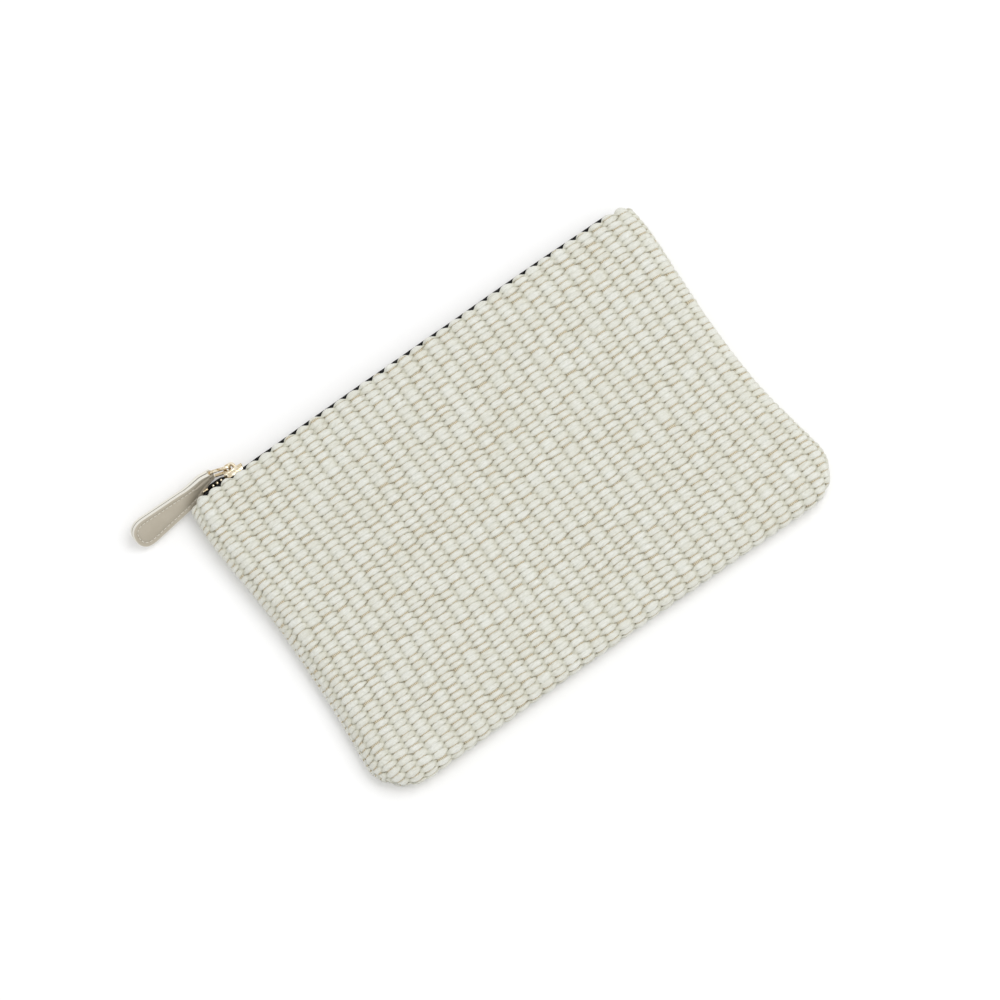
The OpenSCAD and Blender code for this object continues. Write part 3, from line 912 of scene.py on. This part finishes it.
class Nodes:
    """Short hand for building a material's nodes."""

    def __init__(self, name):
        self.material = bpy.data.materials.new(name)
        self.material.use_nodes = True
        self.tree = self.material.node_tree
        self.tree.nodes.clear()
        self.shader = self.add("ShaderNodeBsdfPrincipled")
        out = self.add("ShaderNodeOutputMaterial")
        self.link(self.shader.outputs["BSDF"], out.inputs["Surface"])

    def add(self, kind, **settings):
        node = self.tree.nodes.new(kind)
        for key, value in settings.items():
            setattr(node, key, value)
        return node

    def link(self, source, target):
        self.tree.links.new(source, target)

    def place(self, scale=(1, 1, 1), turn=(0, 0, 0)):
        """Object coordinates, in metres, stretched and turned."""
        where = self.add("ShaderNodeTexCoord")
        mapping = self.add("ShaderNodeMapping")
        mapping.inputs["Scale"].default_value = scale
        mapping.inputs["Rotation"].default_value = turn
        self.link(where.outputs["Object"], mapping.inputs["Vector"])
        return mapping.outputs["Vector"]

    def noise(self, vector, scale, detail=3.0, rough=0.6):
        node = self.add("ShaderNodeTexNoise")
        node.inputs["Scale"].default_value = scale
        node.inputs["Detail"].default_value = detail
        node.inputs["Roughness"].default_value = rough
        self.link(vector, node.inputs["Vector"])
        return node.outputs["Fac"]

    def value(self, name):
        return self.add("ShaderNodeAttribute", attribute_name=name).outputs["Fac"]

    def ramp(self, factor, stops):
        node = self.add("ShaderNodeValToRGB")
        ramp = node.color_ramp
        while len(ramp.elements) < len(stops):
            ramp.elements.new(0.5)
        for element, (at, colour) in zip(ramp.elements, stops):
            element.position = at
            element.color = (*colour, 1)
        self.link(factor, node.inputs["Fac"])
        return node.outputs["Color"]

    def mix(self, factor, a, b, blend="MIX"):
        node = self.add("ShaderNodeMix", data_type="RGBA", blend_type=blend)
        for source, socket in ((factor, node.inputs[0]), (a, node.inputs[6]), (b, node.inputs[7])):
            if isinstance(source, (int, float)):
                socket.default_value = source
            elif isinstance(source, tuple):
                socket.default_value = (*source, 1)
            else:
                self.link(source, socket)
        return node.outputs[2]

    def math(self, operation, a, b):
        node = self.add("ShaderNodeMath", operation=operation)
        for source, socket in zip((a, b), node.inputs):
            if isinstance(source, (int, float)):
                socket.default_value = source
            else:
                self.link(source, socket)
        return node.outputs[0]

    def bump(self, height, distance, strength=1.0):
        node = self.add("ShaderNodeBump")
        node.inputs["Distance"].default_value = distance
        node.inputs["Strength"].default_value = strength
        self.link(height, node.inputs["Height"])
        self.link(node.outputs["Normal"], self.shader.inputs["Normal"])

    def set(self, **values):
        for key, value in values.items():
            self.shader.inputs[key.replace("_", " ")].default_value = value

    def colour(self, source):
        self.link(source, self.shader.inputs["Base Color"])


def weft_material():
    """Soft off-white yarn, with fibres along it, and painted shade, darker and warmer, where it dives."""
    m = Nodes("weft_yarn")
    fibres = m.noise(m.place((0.14, 1, 1)), 2700, 4, 0.65)
    fluff = m.noise(m.place(), 800, 4)
    patch = m.noise(m.place(), 60, 2)
    # Painted shade: by the level attribute the colour runs from the crest down through shade to deep,
    # darkest where the yarn dives.
    deep, shade, crest = (0.56, 0.53, 0.41), (0.77, 0.77, 0.68), (0.875, 0.885, 0.84)
    body = m.ramp(m.value("level"), [(0.0, deep), (0.36, shade), (0.88, crest)])
    tinted = m.mix(m.math("MULTIPLY", m.value("tone"), 0.35), body, (0.86, 0.84, 0.76), "MULTIPLY")
    streaks = m.ramp(fibres, [(0.35, (0.0, 0.0, 0.0)), (0.65, (0.9, 0.9, 0.9))])
    streaked = m.mix(streaks, tinted, (0.83, 0.82, 0.77), "MULTIPLY")
    m.colour(m.mix(m.math("MULTIPLY", patch, 0.25), streaked, (0.90, 0.89, 0.85), "MULTIPLY"))
    m.set(Roughness=0.92, Sheen_Weight=0.25, Sheen_Roughness=0.5)
    m.bump(m.math("ADD", fibres, m.math("MULTIPLY", fluff, 1.2)), 0.00045, 0.95)
    return m.material


def warp_material():
    """Fine tan yarn, twisted, with painted shade between the threads."""
    m = Nodes("warp_yarn")
    twist = m.noise(m.place((1, 0.25, 1), (0, 0, 0.5)), 5200, 3)
    # Painted shade: groove is the colour between the threads, where level is 0; top is on the threads'
    # crowns.
    groove, side, top = (0.34, 0.28, 0.17), (0.64, 0.57, 0.435), (0.74, 0.69, 0.56)
    body = m.ramp(m.value("level"), [(0.0, groove), (0.6, side), (1.0, top)])
    m.colour(m.mix(m.math("MULTIPLY", twist, 0.6), body, (0.70, 0.64, 0.52), "MULTIPLY"))
    m.set(Roughness=0.95)
    m.bump(twist, 0.00012, 0.8)
    return m.material


def plain_material(name, colour, roughness, grain, depth, sheen=0.0):
    """One cloth or thread colour with a fine grain."""
    m = Nodes(name)
    fine = m.noise(m.place(), grain, 3)
    m.colour(m.mix(m.math("MULTIPLY", fine, 0.5), colour, tuple(0.8 * c for c in colour)))
    m.set(Roughness=roughness, Sheen_Weight=sheen)
    m.bump(fine, depth, 0.8)
    return m.material


def metal_material(name, deep):
    """Pale polished gold, with painted dark reflections as patches of a deeper tone, and a faint bump of
    worn metal.
    """
    m = Nodes(name)
    # This noise paints dark reflections as patches of the deep colour, and also gives the faint bump.
    wear_and_painted_reflections = m.noise(m.place(), 420, 3)
    m.colour(m.ramp(wear_and_painted_reflections, [(0.38, deep), (0.55, (0.89, 0.80, 0.62)), (0.7, (0.94, 0.88, 0.74))]))
    m.set(Metallic=1.0, Roughness=0.14)
    m.bump(wear_and_painted_reflections, 0.00012, 0.5)
    return m.material


def leather_material():
    """Beige leather with a pebbled grain, paler at its cut edges and dark along the seam."""
    m = Nodes("beige_leather")
    cells = m.add("ShaderNodeTexVoronoi", feature="SMOOTH_F1")
    cells.inputs["Scale"].default_value = 1900
    m.link(m.place(), cells.inputs["Vector"])
    tone = m.noise(m.place(), 130, 3)
    face = m.ramp(tone, [(0.3, (0.435, 0.39, 0.31)), (0.7, (0.48, 0.435, 0.355))])
    cut = m.mix(m.value("cut"), face, (0.76, 0.74, 0.67))
    m.colour(m.mix(m.value("seam"), cut, (0.10, 0.085, 0.065)))
    m.set(Roughness=0.55, Specular_IOR_Level=0.35)
    m.bump(cells.outputs["Distance"], 0.00006, 0.6)
    return m.material


def floor_material():
    """Pale paper."""
    m = Nodes("floor_paper")
    grain = m.noise(m.place(), 400, 2)
    m.colour(m.mix(grain, (0.965, 0.965, 0.965), (0.975, 0.975, 0.975)))
    m.set(Roughness=0.9, Specular_IOR_Level=0.0)
    return m.material


# ---------------------------------------------------------------- camera, light and floor

CAMERA_TILT = math.radians(73.285)
CAMERA_TURN = math.radians(35.928)
CAMERA_FAR = 1500.0
CENTRE_OFF = (-5.627, -0.958)
VIEW_WIDE = 407.23
SKY_STRENGTH = 0.885
KEY_RIGHT, KEY_AHEAD, KEY_UP = 0.65, 0.4, 1.55  # metres, right and ahead as the camera faces
KEY_SIZE, KEY_POWER = 1.4, 9.4
FLOOR_HALF = 3000


def camera():
    """The photograph's camera. Returns its right and the direction it faces, both level."""
    right = Vector((math.cos(CAMERA_TURN), -math.sin(CAMERA_TURN), 0))
    ahead = Vector((math.sin(CAMERA_TURN), math.cos(CAMERA_TURN), 0))
    forward = ahead * math.cos(CAMERA_TILT) - Vector((0, 0, math.sin(CAMERA_TILT)))
    up = right.cross(forward)
    target = Vector((0, 0, SEAM_Z)) + right * CENTRE_OFF[0] + up * CENTRE_OFF[1]
    data = bpy.data.cameras.new("camera")
    data.angle = 2 * math.atan(VIEW_WIDE / 2 / CAMERA_FAR)
    data.clip_start, data.clip_end = 0.05, 20
    made = bpy.data.objects.new("camera", data)
    made.location = (target - forward * CAMERA_FAR) * MM
    made.rotation_euler = forward.to_track_quat("-Z", "Y").to_euler()
    bpy.context.scene.collection.objects.link(made)
    bpy.context.scene.camera = made
    return right, ahead


def area_light(name, place, size, power):
    """A round lamp at a place in metres, aimed at the object."""
    data = bpy.data.lights.new(name, "AREA")
    data.shape, data.size, data.energy = "DISK", size, power
    made = bpy.data.objects.new(name, data)
    made.location = place
    made.rotation_euler = (-Vector(place)).to_track_quat("-Z", "Y").to_euler()
    bpy.context.scene.collection.objects.link(made)


def studio():
    """Camera, floor, even white surroundings and one soft lamp."""
    right, ahead = camera()
    corners = [(x * FLOOR_HALF, y * FLOOR_HALF, 0) for x, y in ((-1, -1), (1, -1), (1, 1), (-1, 1))]
    floor = piece("floor", corners, [[(0, 1, 2, 3)]], floor_material())
    world = bpy.data.worlds.new("studio")
    world.use_nodes = True
    world.node_tree.nodes["Background"].inputs["Color"].default_value = (1, 1, 1, 1)
    world.node_tree.nodes["Background"].inputs["Strength"].default_value = SKY_STRENGTH
    bpy.context.scene.world = world
    key = right * KEY_RIGHT + ahead * KEY_AHEAD + Vector((0, 0, KEY_UP))
    area_light("key", tuple(key), KEY_SIZE, KEY_POWER)
    bpy.context.scene.view_settings.view_transform = "Standard"


# ---------------------------------------------------------------- the whole

woven_cloth(weft_material(), warp_material())
linings(plain_material("lining_cotton", (0.66, 0.60, 0.49), 0.9, 2500, 0.0001, 0.1))
thread = plain_material("cream_thread", (0.74, 0.71, 0.62), 0.8, 4000, 0.00006, 0.1)
mouth_stitching(thread)
tapes(plain_material("black_tape", (0.004, 0.004, 0.0045), 0.9, 3500, 0.00012))
metal = metal_material("pale_gold", (0.62, 0.48, 0.28))
zip_chain(metal)
slider(metal)
# The link's gold is a darker copy of the same metal: its deeper patches are painted shade and dark
# reflections.
link(metal_material("link_gold_painted_shade", (0.42, 0.26, 0.08)))
leather = leather_material()
strap_ply("strap_front", "pull_front_ply", 0.02, LEATHER, True, leather)
strap_ply("strap_back", "pull_back_ply", -LEATHER, -0.02, False, leather)
strap_loop(leather)
strap_stitches(thread)
studio()
